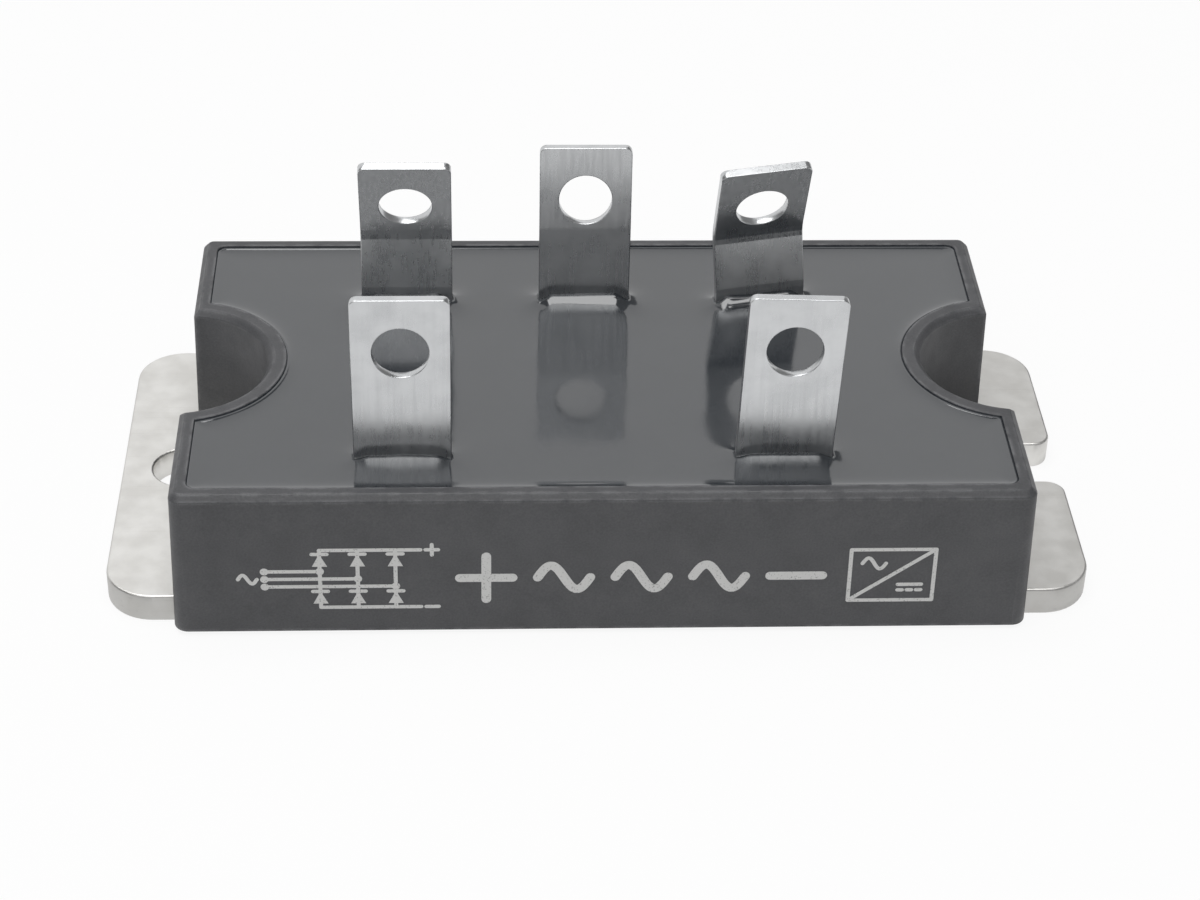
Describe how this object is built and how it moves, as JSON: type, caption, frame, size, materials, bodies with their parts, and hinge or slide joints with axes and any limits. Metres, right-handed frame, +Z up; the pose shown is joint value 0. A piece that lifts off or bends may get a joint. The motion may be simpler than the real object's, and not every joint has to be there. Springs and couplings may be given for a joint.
{
  "type": "three-phase bridge rectifier module",
  "caption": "Potted rectangular case on a metal base plate with a screw ear at each end, a half-round recess above each ear, and upright flat tabs with round holes on top.",
  "frame": {"origin": "middle of the base plate's underside, on the mounting face", "axes": "+X along the case, from the closed ear to the slotted ear; +Y from the two-tab row to the three-tab row; +Z up, out of the mounting face"},
  "size_m": [0.0806, 0.04, 0.0282],
  "materials": {
    "plate_metal": "pale satin metal",
    "case_plastic": "dark grey moulded plastic, satin",
    "resin": "dark grey cast resin, glossy",
    "gel": "soft clear silicone, hidden",
    "ceramic": "white alumina, hidden",
    "silicon": "grey silicon, hidden",
    "copper": "bare copper, hidden",
    "plated_copper": "bright tin-plated copper"
  },
  "bodies": {
    "root": {"base_plate": "plate_metal", "case_shell": "case_plastic", "resin_fill": "resin", "silicone_gel": "gel", "copper_backing": "copper", "ceramic_substrate": "ceramic", "plus_land": "copper", "minus_land": "copper", "input_land_1": "copper", "input_land_2": "copper", "input_land_3": "copper", "upper_chip_1": "silicon", "upper_chip_2": "silicon", "upper_chip_3": "silicon", "lower_chip_1": "silicon", "lower_chip_2": "silicon", "lower_chip_3": "silicon", "jumper_1": "copper", "jumper_2": "copper", "jumper_3": "copper", "minus_bus": "copper", "plus_terminal": "plated_copper", "minus_terminal": "plated_copper", "input_terminal_1": "plated_copper", "input_terminal_2": "plated_copper", "input_terminal_3": "plated_copper"}
  },
  "joints": []
}
